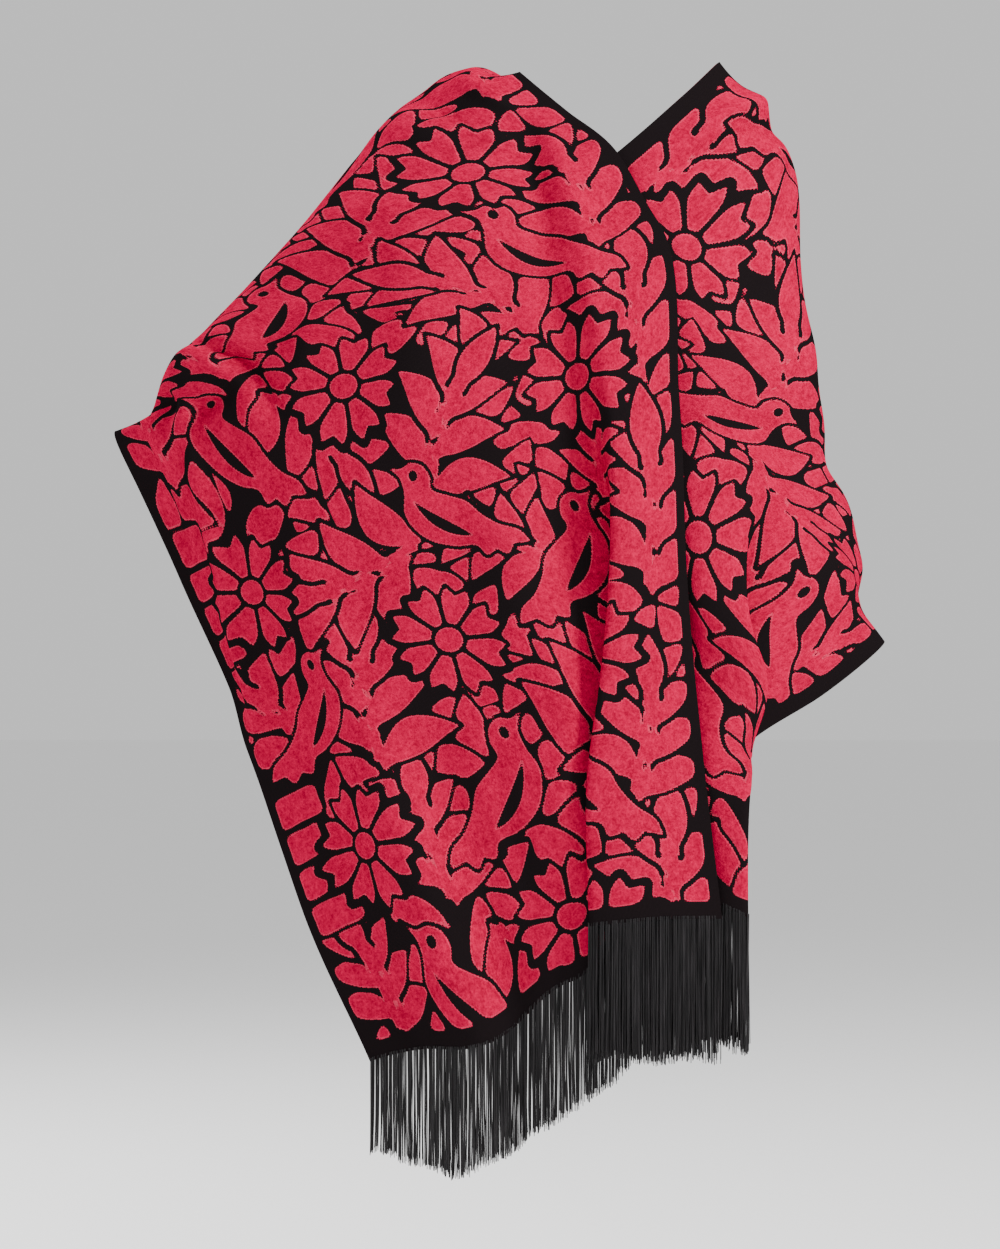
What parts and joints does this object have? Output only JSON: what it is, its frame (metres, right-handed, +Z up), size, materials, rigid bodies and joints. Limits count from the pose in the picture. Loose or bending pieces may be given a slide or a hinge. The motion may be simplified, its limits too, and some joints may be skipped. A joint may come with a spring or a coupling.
{
  "type": "rebozo",
  "caption": "Jacquard-woven rebozo with fringed ends, hanging open and hollow as worn over the shoulders, one front laid over the other.",
  "frame": {"origin": "on the line across the tops of the shoulders, in the middle of the neck opening", "axes": "+Z up, -Y out of the wearer's chest towards the viewer, +X to the viewer's right"},
  "size_m": [0.7673, 0.3949, 1.1016],
  "materials": {
    "cloth": "thick jacquard weave, red motifs with a short felted nap on a black ground, matt with a faint sheen",
    "fringe": "straight black yarn with a soft silky gloss"
  },
  "bodies": {
    "root": {"cloth_over_front": "cloth", "cloth_back": "cloth", "cloth_under_front": "cloth", "fringe_over": "fringe", "fringe_under": "fringe"}
  },
  "joints": []
}
